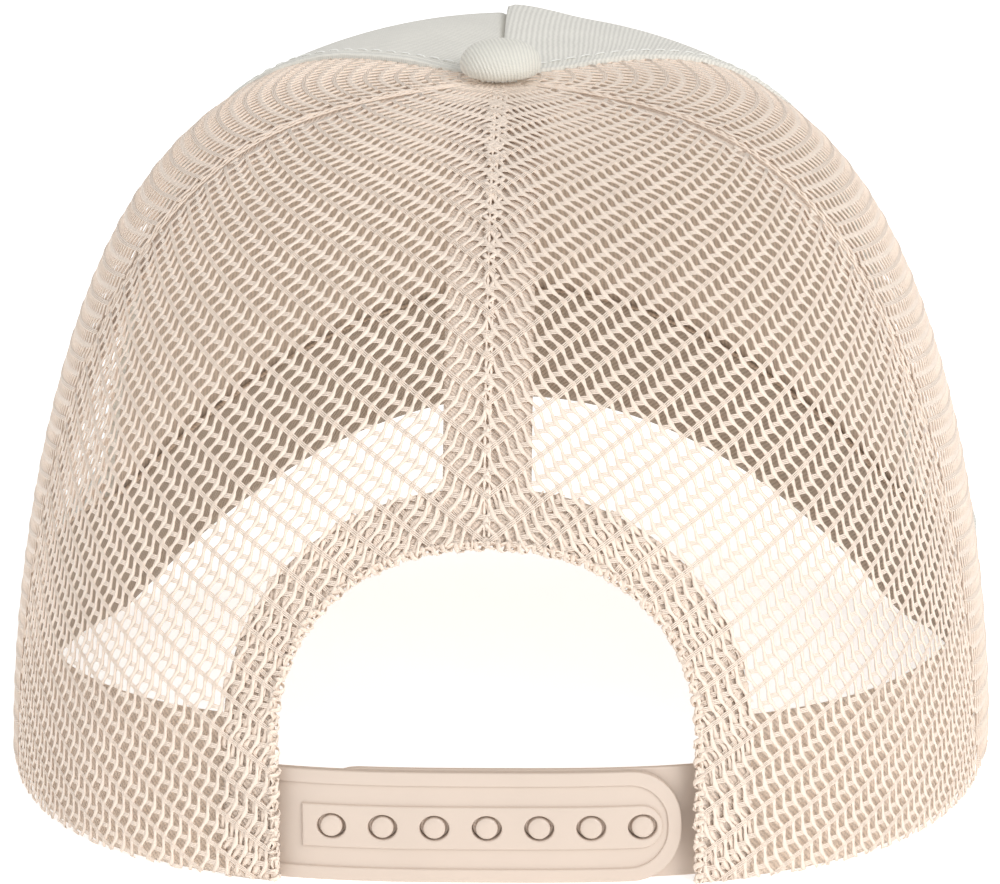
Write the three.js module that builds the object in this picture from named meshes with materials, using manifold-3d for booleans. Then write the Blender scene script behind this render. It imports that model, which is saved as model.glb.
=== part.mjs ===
// Trucker cap: two stiff front panels, four mesh panels, a curved brim, a covered button,
// an inner sweatband and a plastic snap strap across the arched opening at the back.
// Millimetres, +Z up. The brim points to -Y, the strap is at +Y and the wearer's left is +X.
// A place on the crown has an angle about its axis, 0 at the centre back and 90 degrees at
// the wearer's left, and a climb, 0 at the rim and 90 degrees at the button.

import * as THREE from 'three';
import { mergeVertices } from 'three/addons/utils/BufferGeometryUtils.js';
import Module from 'manifold-3d';

const wasm = await Module();
wasm.setup();

// Crown, measured on its outer face
const crownHalfWidth = 85;
const crownBackReach = 101.3;
const crownFrontReach = 99;
const crownHeight = 111;
const rimSquarenessBack = 2.87;
const rimSquarenessFront = 1.88;
const frontBulge = 3.9;

// How full the crown's side view is where it faces back, sideways and forward:
// 2 is an ellipse, and more is squarer
const fullness = {
  back: { outward: 2.15, upward: 2.13 },
  side: { outward: 4.1, upward: 1.7 },
  front: { outward: 2.96, upward: 2.48 },
};

// Panels
const sideSeamAngle = 60;
const frontSeamAngle = 120;
const meshWall = 1.2;
const frontWall = 2.0;
const pieceGap = 0.3;
const layerGap = 0.5;
const topHoleRadius = 2.9;

// The right front panel is folded over the left one at the top of the front seam.
// The table gives how proud the fold stands, as a share of foldHeight, along the climb.
const foldHeight = 1.5;
const foldWidth = 15;
const foldRows = [
  { climb: 0, proud: 0 },
  { climb: 30, proud: 0.15 },
  { climb: 55, proud: 0.7 },
  { climb: 72, proud: 1 },
  { climb: 82, proud: 0.7 },
  { climb: 90, proud: 0.2 },
];

// Arched opening at the back and its hem
const archHalfWidth = 34;
const archSpring = 24;
const archTop = 54.5;
const archSquareness = 2.2;
const hemWidth = 9.3;
const hemWall = 0.9;

// Seam tapes inside the mesh
const tapeWall = 0.8;
const backTapeWidth = 14;
const sideTapeWidth = 10;
const backTapeTopRadius = 10;
const sideTapeTopRadius = 15;

// Sweatband inside the rim
const sweatbandWall = 1.5;
const sweatbandHeightBack = 27.5;
const sweatbandHeightFront = 21.5;

// Brim
const brimLength = 70;
const brimHalfWidth = 86;
const brimThickness = 3;
const brimRise = 26.3;
const brimTipDrop = 5;
const brimHalfAngle = 59;
const brimEdgeRound = 1.3;
const brimArchSoftening = 0.04;
const brimSpread = 40;

// Half of the brim's outline from the temple to the tip, as shares of the length from the
// brim's ends to its tip and of the brim's half width
const brimOutline = [
  { along: 0.0, across: 0.885 },
  { along: 0.12, across: 0.945 },
  { along: 0.25, across: 0.985 },
  { along: 0.38, across: 1.0 },
  { along: 0.52, across: 0.975 },
  { along: 0.66, across: 0.9 },
  { along: 0.78, across: 0.775 },
  { along: 0.88, across: 0.6 },
  { along: 0.95, across: 0.41 },
  { along: 0.987, across: 0.21 },
  { along: 1.0, across: 0.0 },
];

// Button
const buttonRadius = 7;
const buttonHeight = 6;
const buttonStemRadius = 2.5;
const buttonPlateRadius = 5;
const buttonPlateThickness = 0.8;

// Snap strap
const strapWidth = 18.6;
const strapWall = 1.1;
const strapTuck = 8;
const outerStrapReach = 32.4;
const innerStrapReach = 30;
const strapEndRadius = 8.5;
const strapBorder = 2.3;
const strapRelief = 0.5;
const plateauHeight = 7.6;
const plateauHalfLength = 29.8;
const holeCount = 7;
const holePitch = 8.6;
const holeHalfWidth = 2.35;
const holeHalfHeight = 2.05;
const pegRadius = 1.55;
const pegProud = 0.4;

// Facets of the walls, across and up each piece
const facets = {
  front: { columns: 12, rows: 14 },
  meshSide: { columns: 10, rows: 14 },
  meshBack: { columns: 12, rows: 16 },
  hem: { columns: 18, rows: 10 },
  tape: { columns: 3, rows: 14 },
  sweatband: { columns: 58, rows: 2 },
  brim: { columns: 30, rows: 6 },
  strap: { columns: 20, rows: 2 },
};

const degrees = THREE.MathUtils.degToRad;
const mix = THREE.MathUtils.lerp;

// Value from a table of rows, between its rows
function readTable(rows, inputName, outputName, input) {
  const after = rows.findIndex((row) => row[inputName] >= input);
  if (after === 0) return rows[0][outputName];
  if (after < 0) return rows[rows.length - 1][outputName];
  const low = rows[after - 1];
  const high = rows[after];
  const share = (input - low[inputName]) / (high[inputName] - low[inputName]);
  return mix(low[outputName], high[outputName], share);
}

// Crown surface

function rimRadius(angle) {
  const facing = Math.cos(angle);
  const reach = facing > 0 ? crownBackReach : crownFrontReach;
  const power = facing > 0 ? rimSquarenessBack : rimSquarenessFront;
  const across = Math.abs(Math.sin(angle) / crownHalfWidth) ** power;
  const along = Math.abs(facing / reach) ** power;
  return (across + along) ** (-1 / power);
}

// Height of the brim's arch at a distance across, where it is so wide at its foot
function archHeight(across, halfWidth, rise) {
  const left = Math.max(0, 1 - (across / halfWidth) ** 2);
  return (rise * left * left) / (left + brimArchSoftening);
}

const templeAngle = Math.PI - degrees(brimHalfAngle);
const templeAcross = rimRadius(templeAngle) * Math.sin(templeAngle);
const templeAlong = rimRadius(templeAngle) * Math.cos(templeAngle);

function rimHeight(angle) {
  if (Math.cos(angle) > 0) return 0;
  return archHeight(rimRadius(angle) * Math.sin(angle), templeAcross, brimRise);
}

// Shares of back, side and front in the direction that a place on the crown faces
function facingShares(angle) {
  const along = Math.cos(angle);
  const back = Math.max(0, along) ** 2;
  const front = Math.max(0, -along) ** 2;
  return { back, front, side: 1 - back - front };
}

function fullnessAt(angle, way) {
  const shares = facingShares(angle);
  return ['back', 'side', 'front'].reduce((sum, part) => sum + shares[part] * fullness[part][way], 0);
}

function crownPoint(angle, climb) {
  const inward = Math.cos(climb) ** (2 / fullnessAt(angle, 'outward'));
  const upward = Math.sin(climb) ** (2 / fullnessAt(angle, 'upward'));
  const radius = rimRadius(angle) * inward;
  const bulge = facingShares(angle).front * frontBulge * Math.sin(Math.PI * inward) ** 2;
  const height = mix(rimHeight(angle), crownHeight, upward) + bulge;
  return new THREE.Vector3(radius * Math.sin(angle), radius * Math.cos(angle), height);
}

function crownNormal(angle, climb) {
  const step = 0.02;
  const middle = Math.min(Math.max(climb, 2 * step), Math.PI / 2 - 2 * step);
  const across = crownPoint(angle + step, middle).sub(crownPoint(angle - step, middle));
  const up = crownPoint(angle, middle + step).sub(crownPoint(angle, middle - step));
  const normal = up.cross(across).normalize();
  if (climb === 0) normal.setZ(0).normalize();
  return normal;
}

// Place on the crown, so far inside its outer face
function insidePoint(angle, climb, inset) {
  return crownPoint(angle, climb).addScaledVector(crownNormal(angle, climb), -inset);
}

function climbAtRadius(angle, radius) {
  const share = Math.min(1, radius / rimRadius(angle));
  return Math.acos(share ** (fullnessAt(angle, 'outward') / 2));
}

function climbAtHeight(angle, aboveRim) {
  const share = aboveRim / (crownHeight - rimHeight(angle));
  return Math.asin(share ** (fullnessAt(angle, 'upward') / 2));
}

// Angle that a distance across spans at a place on the crown
function spanAngle(angle, climb, distance) {
  const ground = Math.hypot(crownPoint(angle, climb).x, crownPoint(angle, climb).y);
  return Math.asin(Math.min(1, distance / ground));
}

// Solids

// Closed wall with an outer and an inner skin. point(across, up, skin) gives a corner for
// shares from 0 to 1, with skin 0 on the outer face and 1 on the inner.
function wall({ columns, rows }, point) {
  const positions = [];
  const triangles = [];
  const corner = (column, row, skin) => (skin * (rows + 1) + row) * (columns + 1) + column;
  for (const skin of [0, 1]) {
    for (let row = 0; row <= rows; row += 1) {
      for (let column = 0; column <= columns; column += 1) {
        positions.push(...point(column / columns, row / rows, skin).toArray());
      }
    }
  }
  const quad = (a, b, c, d) => triangles.push(a, b, c, a, c, d);
  for (let row = 0; row < rows; row += 1) {
    for (let column = 0; column < columns; column += 1) {
      const next = column + 1;
      const above = row + 1;
      quad(corner(column, row, 0), corner(column, above, 0), corner(next, above, 0), corner(next, row, 0));
      quad(corner(column, row, 1), corner(next, row, 1), corner(next, above, 1), corner(column, above, 1));
    }
  }
  for (let column = 0; column < columns; column += 1) {
    const next = column + 1;
    quad(corner(column, 0, 0), corner(next, 0, 0), corner(next, 0, 1), corner(column, 0, 1));
    quad(corner(next, rows, 0), corner(column, rows, 0), corner(column, rows, 1), corner(next, rows, 1));
  }
  for (let row = 0; row < rows; row += 1) {
    const above = row + 1;
    quad(corner(0, above, 0), corner(0, row, 0), corner(0, row, 1), corner(0, above, 1));
    quad(corner(columns, row, 0), corner(columns, above, 0), corner(columns, above, 1), corner(columns, row, 1));
  }
  const geometry = new THREE.BufferGeometry();
  geometry.setAttribute('position', new THREE.Float32BufferAttribute(positions, 3));
  geometry.setIndex(triangles);
  return geometry;
}

function solid(geometry) {
  const plain = geometry.clone();
  plain.deleteAttribute('normal');
  plain.deleteAttribute('uv');
  const merged = mergeVertices(plain, 1e-4);
  return new wasm.Manifold(new wasm.Mesh({
    numProp: 3,
    vertProperties: new Float32Array(merged.attributes.position.array),
    triVerts: new Uint32Array(merged.index.array),
  }));
}

function geometryOf(body) {
  const mesh = body.getMesh();
  const geometry = new THREE.BufferGeometry();
  geometry.setAttribute('position', new THREE.BufferAttribute(mesh.vertProperties, 3));
  geometry.setIndex(new THREE.BufferAttribute(mesh.triVerts, 1));
  return geometry;
}

// Prism through the back of the cap, from an outline drawn in X and Z
function backPrism(outline) {
  const depth = crownBackReach;
  const geometry = new THREE.ExtrudeGeometry(outline, { depth, bevelEnabled: false, curveSegments: 6 });
  geometry.rotateX(Math.PI / 2);
  geometry.translate(0, depth + crownBackReach / 2, 0);
  return solid(geometry);
}

// Outline of the arched opening, grown outwards by a margin
function archOutline(margin) {
  const steps = 20;
  const below = -10;
  const halfWidth = archHalfWidth + margin;
  const outline = new THREE.Shape();
  outline.moveTo(halfWidth, below);
  for (let step = 0; step <= steps; step += 1) {
    const turn = (Math.PI * step) / steps;
    const side = Math.sign(Math.cos(turn)) * Math.abs(Math.cos(turn)) ** (2 / archSquareness);
    const lift = Math.max(0, Math.sin(turn)) ** (2 / archSquareness);
    outline.lineTo(halfWidth * side, archSpring + (archTop + margin - archSpring) * lift);
  }
  outline.lineTo(-halfWidth, below);
  return outline;
}

// Panels

// How far the front fold stands proud of the crown on the side that overlaps
function foldProud(angle, climb) {
  const across = crownPoint(angle, climb).x;
  const near = Math.max(0, 1 - Math.abs(across) / foldWidth);
  const share = readTable(foldRows, 'climb', 'proud', THREE.MathUtils.radToDeg(climb));
  return foldHeight * share * near * near * (3 - 2 * near);
}

// One crown panel between two seams, whose angles rise
function panel(fromAngle, toAngle, thickness, grid, proud = () => 0) {
  return wall(grid, (across, up, skin) => {
    const middle = mix(fromAngle, toAngle, across);
    const climb = up * climbAtRadius(middle, topHoleRadius);
    const first = fromAngle + spanAngle(fromAngle, climb, pieceGap / 2);
    const last = toAngle - spanAngle(toAngle, climb, pieceGap / 2);
    const angle = mix(first, last, across);
    return insidePoint(angle, climb, skin * thickness - proud(angle, climb));
  });
}

const sideSeam = degrees(sideSeamAngle);
const frontSeam = degrees(frontSeamAngle);
const turn = 2 * Math.PI;

const archCut = backPrism(archOutline(0));
const hemCut = backPrism(archOutline(hemWidth));
const hemClearCut = backPrism(archOutline(hemWidth + pieceGap));

function meshBack(fromAngle, toAngle) {
  return geometryOf(solid(panel(fromAngle, toAngle, meshWall, facets.meshBack)).subtract(archCut));
}

// Hem of the arched opening, lying against the inside of the mesh
function rearHem() {
  const reach = Math.atan2(archHalfWidth + 2 * hemWidth, crownBackReach - 2 * hemWidth);
  const outer = meshWall + layerGap;
  const band = wall(facets.hem, (across, up, skin) => {
    const angle = mix(-reach, reach, across);
    const top = climbAtHeight(angle, archTop + 1.5 * hemWidth);
    return insidePoint(angle, up * top, outer + skin * hemWall);
  });
  return geometryOf(solid(band).intersect(hemCut).subtract(archCut));
}

// Tape over the inside of a mesh seam
function seamTape(seamAngle, width, fromHeight, topRadius) {
  const outer = meshWall + layerGap;
  return wall(facets.tape, (across, up, skin) => {
    const low = climbAtHeight(seamAngle, fromHeight);
    const climb = mix(low, climbAtRadius(seamAngle, topRadius), up);
    const angle = seamAngle + (across * 2 - 1) * spanAngle(seamAngle, climb, width / 2);
    return insidePoint(angle, climb, outer + skin * tapeWall);
  });
}

function backSeamTape() {
  const tape = seamTape(0, backTapeWidth, archTop, backTapeTopRadius);
  return geometryOf(solid(tape).subtract(hemClearCut));
}

// Sweatband inside the rim, from one side of the arched opening round to the other.
// It steps inwards where the panel that it lies on gets thicker.
function sweatband() {
  const openingAngle = Math.atan2(archHalfWidth, crownBackReach);
  const stepAngle = degrees(7);
  const band = wall(facets.sweatband, (across, up, skin) => {
    const angle = mix(openingAngle, turn - openingAngle, across);
    const fromFront = Math.abs(angle - Math.PI);
    const past = THREE.MathUtils.smoothstep(fromFront, Math.PI - frontSeam, Math.PI - frontSeam + stepAngle);
    const outer = mix(frontWall, meshWall, past) + layerGap;
    const height = mix(sweatbandHeightFront, sweatbandHeightBack, (1 - Math.cos(fromFront)) / 2);
    const climb = climbAtHeight(angle, up * height);
    return insidePoint(angle, climb, outer + skin * sweatbandWall);
  });
  return geometryOf(solid(band).subtract(hemClearCut));
}

// Brim

// Place under the brim, given in plan, and how far it lies out from the crown's rim
function brimUnderside(x, y, outward) {
  const spread = Math.min(1, outward / brimSpread);
  const halfWidth = mix(templeAcross, brimHalfWidth, spread * (2 - spread));
  const ridge = brimRise - (brimTipDrop * outward) / brimLength;
  return new THREE.Vector3(x, y, archHeight(x, halfWidth, ridge));
}

// Outline of the brim in plan, from the left temple round the tip to the right one
function brimCurve() {
  const tip = -(crownFrontReach + brimLength);
  const half = brimOutline.map((row) => (
    new THREE.Vector2(row.across * brimHalfWidth, mix(templeAlong, tip, row.along))
  ));
  const mirrored = half.slice(0, -1).reverse().map((point) => new THREE.Vector2(-point.x, point.y));
  return new THREE.SplineCurve([...half, ...mirrored]);
}

function brim() {
  const curve = brimCurve();
  const edgeShare = (facets.brim.rows - 1) / facets.brim.rows;
  return wall(facets.brim, (across, up, skin) => {
    const angle = mix(templeAngle, turn - templeAngle, across);
    const root = insidePoint(angle, 0, -pieceGap);
    const edge = curve.getPoint(across);
    const outward = new THREE.Vector2(edge.x - root.x, edge.y - root.y);
    const length = outward.length();
    outward.normalize();
    const round = Math.min(brimEdgeRound, length / 2);
    const onEdge = up > edgeShare;
    const distance = onEdge ? length : (length - round) * (up / edgeShare);
    const place = brimUnderside(root.x + outward.x * distance, root.y + outward.y * distance, distance);
    const edgeInset = onEdge ? brimThickness / 3 : 0;
    place.z += skin ? brimThickness - edgeInset : edgeInset;
    return place;
  });
}

// Button

function button() {
  const seat = crownHeight + pieceGap;
  const below = crownHeight - frontWall - pieceGap;
  const dome = [];
  const steps = 8;
  for (let step = 0; step <= steps; step += 1) {
    const climb = (Math.PI / 2) * (step / steps);
    const lift = 0.3 + 0.7 * Math.sin(climb);
    dome.push(new THREE.Vector2(buttonRadius * Math.cos(climb) ** 0.8, seat + buttonHeight * lift));
  }
  dome[steps].x = 0;
  const profile = [
    new THREE.Vector2(0, below - buttonPlateThickness),
    new THREE.Vector2(buttonPlateRadius, below - buttonPlateThickness),
    new THREE.Vector2(buttonPlateRadius, below),
    new THREE.Vector2(buttonStemRadius, below),
    new THREE.Vector2(buttonStemRadius, seat + 0.6),
    new THREE.Vector2(0.72 * buttonRadius, seat + 0.2),
    new THREE.Vector2(0.92 * buttonRadius, seat + 0.12 * buttonHeight),
    ...dome,
  ];
  const geometry = new THREE.LatheGeometry(profile, 24);
  geometry.rotateX(Math.PI / 2);
  return geometryOf(solid(geometry));
}

// Snap strap

const outerStrapInset = meshWall + hemWall + 2 * layerGap;
const innerStrapInset = outerStrapInset + strapWall + strapRelief + pieceGap;
const strapMiddle = strapWidth / 2;

// Angle about the crown's axis of a place on the straps
function strapAngle(x) {
  return Math.atan2(x, Math.sqrt(crownBackReach ** 2 - x ** 2));
}

// Slab that follows the inside of the crown, a little higher than the strap
function bentSlab(fromX, toX, outerInset, innerInset) {
  const height = strapWidth + 1;
  return solid(wall(facets.strap, (across, up, skin) => {
    const angle = strapAngle(mix(fromX, toX, across));
    return insidePoint(angle, climbAtHeight(angle, up * height), skin ? innerInset : outerInset);
  }));
}

// Outline of a strap with a round end at one side, shrunk all round by a margin
function strapOutline(squareX, roundX, margin, height) {
  const way = Math.sign(roundX - squareX);
  const low = strapMiddle - height / 2 + margin;
  const high = strapMiddle + height / 2 - margin;
  const radius = Math.min(strapEndRadius - margin, (high - low) / 2);
  const end = roundX - way * margin;
  const outline = new THREE.Shape();
  outline.moveTo(squareX, low);
  outline.lineTo(end - way * radius, low);
  outline.quadraticCurveTo(end, low, end, low + radius);
  outline.lineTo(end, high - radius);
  outline.quadraticCurveTo(end, high, end - way * radius, high);
  outline.lineTo(squareX, high);
  return outline;
}

function acrossHoles(make) {
  const places = [];
  for (let index = 0; index < holeCount; index += 1) {
    places.push(make((index - (holeCount - 1) / 2) * holePitch));
  }
  return places;
}

function holePrism(x) {
  const outline = new THREE.Shape();
  outline.absellipse(x, strapMiddle, holeHalfWidth, holeHalfHeight, 0, turn);
  return backPrism(outline);
}

function strapOuter() {
  const start = archHalfWidth + strapTuck;
  const reach = -outerStrapReach;
  const outside = outerStrapInset;
  const plate = bentSlab(reach - 3, start, outside + strapRelief, outside + strapRelief + strapWall);
  const raised = bentSlab(reach - 3, start, outside, outside + strapRelief + strapWall / 2);
  const whole = backPrism(strapOutline(start + 1, reach, 0, strapWidth));
  const inside = backPrism(strapOutline(start + 2, reach, strapBorder, strapWidth));
  const plateau = backPrism(strapOutline(plateauHalfLength, -plateauHalfLength, 0, plateauHeight));
  const relief = raised.intersect(whole).subtract(inside).add(raised.intersect(plateau));
  const body = plate.intersect(whole).add(relief);
  return geometryOf(acrossHoles(holePrism).reduce((rest, hole) => rest.subtract(hole), body));
}

function peg(x) {
  const angle = strapAngle(x);
  const climb = climbAtHeight(angle, strapMiddle);
  const foot = insidePoint(angle, climb, innerStrapInset + strapWall / 2).y;
  const head = insidePoint(angle, climb, outerStrapInset - pegProud).y;
  const tipLength = pegRadius / 3;
  const stemLength = head - foot - tipLength;
  const stem = new THREE.CylinderGeometry(pegRadius, pegRadius, stemLength, 12);
  stem.translate(x, foot + stemLength / 2, strapMiddle);
  const tip = new THREE.CylinderGeometry(0.75 * pegRadius, pegRadius, tipLength, 12);
  tip.translate(x, head - tipLength / 2, strapMiddle);
  return solid(stem).add(solid(tip));
}

function strapInner() {
  const start = -(archHalfWidth + strapTuck);
  const plate = bentSlab(start, innerStrapReach + 3, innerStrapInset, innerStrapInset + strapWall);
  const whole = backPrism(strapOutline(start - 1, innerStrapReach, 0, strapWidth));
  return geometryOf(acrossHoles(peg).reduce((rest, pin) => rest.add(pin), plate.intersect(whole)));
}

// Materials

const frontCloth = new THREE.MeshStandardMaterial({ color: 0xe0dfd8, roughness: 0.9, metalness: 0 });
const meshCloth = new THREE.MeshStandardMaterial({ color: 0xead8c8, roughness: 0.6, metalness: 0 });
const bandCloth = new THREE.MeshStandardMaterial({ color: 0xd9c6b3, roughness: 0.92, metalness: 0 });
const plastic = new THREE.MeshStandardMaterial({ color: 0xeedbc8, roughness: 0.45, metalness: 0 });

const cap = new THREE.Group();

function addPiece(name, geometry, material) {
  const mesh = new THREE.Mesh(geometry, material);
  mesh.name = name;
  cap.add(mesh);
}

addPiece('front_panel_left', panel(frontSeam, Math.PI, frontWall, facets.front), frontCloth);
addPiece('front_panel_right', panel(Math.PI, turn - frontSeam, frontWall, facets.front, foldProud), frontCloth);
addPiece('mesh_side_left', panel(sideSeam, frontSeam, meshWall, facets.meshSide), meshCloth);
addPiece('mesh_side_right', panel(turn - frontSeam, turn - sideSeam, meshWall, facets.meshSide), meshCloth);
addPiece('mesh_back_left', meshBack(0, sideSeam), meshCloth);
addPiece('mesh_back_right', meshBack(turn - sideSeam, turn), meshCloth);
addPiece('rear_hem', rearHem(), meshCloth);
addPiece('back_seam_tape', backSeamTape(), bandCloth);
for (const [name, angle] of [['left', sideSeam], ['right', turn - sideSeam]]) {
  const tape = seamTape(angle, sideTapeWidth, sweatbandHeightBack + 1, sideTapeTopRadius);
  addPiece(`side_seam_tape_${name}`, tape, bandCloth);
}
addPiece('sweatband', sweatband(), bandCloth);
addPiece('brim', brim(), frontCloth);
addPiece('button', button(), frontCloth);
addPiece('strap_outer', strapOuter(), plastic);
addPiece('strap_inner', strapInner(), plastic);

// The origin is under the middle of the whole cap, on the surface that it rests on
const box = new THREE.Box3().setFromObject(cap);
const middle = box.getCenter(new THREE.Vector3());
cap.position.set(-middle.x, -middle.y, -box.min.z);

export default cap;
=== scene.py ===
# Trucker cap seen from behind: knitted net panels, twill front and brim, covered button,
# sweatband and a plastic snap strap. Shapes are worked out in millimetres in the cap's frame
# and written in metres. The brim points to -Y and the wearer's left is +X.

import math

import bmesh
import bpy
import numpy as np
from mathutils import Matrix, Vector


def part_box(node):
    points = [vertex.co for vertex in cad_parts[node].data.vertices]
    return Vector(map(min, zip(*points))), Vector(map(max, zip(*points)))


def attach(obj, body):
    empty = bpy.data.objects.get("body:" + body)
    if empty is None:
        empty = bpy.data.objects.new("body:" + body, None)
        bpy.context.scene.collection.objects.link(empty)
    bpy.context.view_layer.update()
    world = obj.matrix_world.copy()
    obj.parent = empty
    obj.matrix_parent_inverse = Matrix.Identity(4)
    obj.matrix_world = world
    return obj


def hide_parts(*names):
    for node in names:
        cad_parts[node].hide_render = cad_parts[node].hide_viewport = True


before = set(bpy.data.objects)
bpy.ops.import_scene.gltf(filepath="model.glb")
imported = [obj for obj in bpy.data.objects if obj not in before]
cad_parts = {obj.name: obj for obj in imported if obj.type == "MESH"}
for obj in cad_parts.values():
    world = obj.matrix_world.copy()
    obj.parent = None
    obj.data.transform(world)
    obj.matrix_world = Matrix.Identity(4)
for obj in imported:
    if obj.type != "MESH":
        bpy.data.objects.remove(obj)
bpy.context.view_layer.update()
MM = 0.001


def node_box(node):
    low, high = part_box(node)
    return np.array(low) / MM, np.array(high) / MM


# Crown, in millimetres, from the frame where it shows there
SIDE_LOW, SIDE_HIGH = node_box("mesh_side_left")
BUTTON_LOW, BUTTON_HIGH = node_box("button")
AXIS_Y = (BUTTON_LOW[1] + BUTTON_HIGH[1]) / 2
HALF_WIDTH = SIDE_HIGH[0]
BACK_REACH = 101.3
FRONT_REACH = 99.0
HEIGHT = 111.0
SQUARENESS_BACK = 2.87
SQUARENESS_FRONT = 1.88
FRONT_BULGE = 3.9
FULLNESS = {
    "back": (2.15, 2.13),
    "side": (4.1, 1.7),
    "front": (2.96, 2.48),
}
SIDE_SEAM = math.radians(60)
FRONT_SEAM = math.radians(120)
BRIM_HALF_ANGLE = math.radians(59)
BRIM_RISE = 26.3
BRIM_SOFTENING = 0.04
MESH_WALL = 1.2
FRONT_WALL = 2.0
LAYER_GAP = 0.5
PIECE_GAP = 0.3
FLOOR_CLEARANCE = 0.03

# Opening at the back
ARCH_HALF_WIDTH = 34.0
ARCH_SPRING = 24.0
ARCH_TOP = 54.5
ARCH_SQUARENESS = 2.2
HEM_WIDTH = 9.3

# Colours from the photo, in sRGB
TWILL = (0.935, 0.925, 0.89)
BUTTON_TWILL = (0.925, 0.915, 0.875)
BUCKRAM = (0.845, 0.775, 0.705)
NET = (0.975, 0.905, 0.84)
TAPE = (0.975, 0.905, 0.84)
BAND = (0.97, 0.9, 0.83)
# Darker copy of the sweatband colour for the band's inner face: painted shade inside the cap
BAND_PAINTED_SHADE = (0.74, 0.67, 0.6)
PLASTIC = (0.815, 0.75, 0.695)
THREAD = (0.97, 0.97, 0.95)


# Crown surface

def rim_radius(angle):
    facing = np.cos(angle)
    reach = np.where(facing > 0, BACK_REACH, FRONT_REACH)
    power = np.where(facing > 0, SQUARENESS_BACK, SQUARENESS_FRONT)
    across = np.abs(np.sin(angle) / HALF_WIDTH) ** power
    return (across + np.abs(facing / reach) ** power) ** (-1 / power)


TEMPLE = math.pi - BRIM_HALF_ANGLE
TEMPLE_ACROSS = float(rim_radius(TEMPLE) * math.sin(TEMPLE))
TEMPLE_ALONG = float(rim_radius(TEMPLE) * math.cos(TEMPLE))


def arch_height(across, half_width, rise):
    left = np.maximum(0, 1 - (across / half_width) ** 2)
    return rise * left * left / (left + BRIM_SOFTENING)


def rim_height(angle):
    rise = arch_height(rim_radius(angle) * np.sin(angle), TEMPLE_ACROSS, BRIM_RISE)
    return np.where(np.cos(angle) > 0, 0, rise)


def fullness(angle, way):
    back = np.maximum(0, np.cos(angle)) ** 2
    front = np.maximum(0, -np.cos(angle)) ** 2
    side = 1 - back - front
    return back * FULLNESS["back"][way] + side * FULLNESS["side"][way] + front * FULLNESS["front"][way]


def crown(angle, climb):
    """Points on the crown's outer face, millimetres, for arrays of angle and climb."""
    inward = np.cos(climb) ** (2 / fullness(angle, 0))
    upward = np.sin(climb) ** (2 / fullness(angle, 1))
    radius = rim_radius(angle) * inward
    front = np.maximum(0, -np.cos(angle)) ** 2
    low = rim_height(angle)
    height = low + (HEIGHT - low) * upward + front * FRONT_BULGE * np.sin(math.pi * inward) ** 2
    return np.stack([radius * np.sin(angle), radius * np.cos(angle) + AXIS_Y, height], -1)


def crown_normal(angle, climb):
    step = 0.02
    middle = np.clip(climb, 2 * step, math.pi / 2 - 2 * step)
    across = crown(angle + step, middle) - crown(angle - step, middle)
    up = crown(angle, middle + step) - crown(angle, middle - step)
    normal = np.cross(up, across)
    normal[..., 2] *= np.clip(climb / 0.05, 0, 1)
    return normal / np.linalg.norm(normal, axis=-1, keepdims=True)


def inside(angle, climb, inset):
    inset = np.broadcast_to(inset, np.shape(angle))[..., None]
    return crown(angle, climb) - crown_normal(angle, climb) * inset


def climb_at_height(angle, above):
    share = np.clip(above / (HEIGHT - rim_height(angle)), 0, 1)
    return np.arcsin(share ** (fullness(angle, 1) / 2))


def climb_at_radius(angle, radius):
    share = np.minimum(1, radius / rim_radius(angle))
    return np.arccos(share ** (fullness(angle, 0) / 2))


def ground_distance(angle, climb):
    """How far places on the crown are from its upright axis."""
    flat = crown(angle, climb)[..., :2] - np.array([0, AXIS_Y])
    return np.linalg.norm(flat, axis=-1)


def run_length(path):
    """Distance run along a path, at each of its points."""
    steps = np.linalg.norm(np.diff(path, axis=0), axis=-1)
    return np.concatenate([[0], np.cumsum(steps)])


def smooth(low, high, value):
    share = np.clip((value - low) / (high - low), 0, 1)
    return share * share * (3 - 2 * share)


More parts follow.
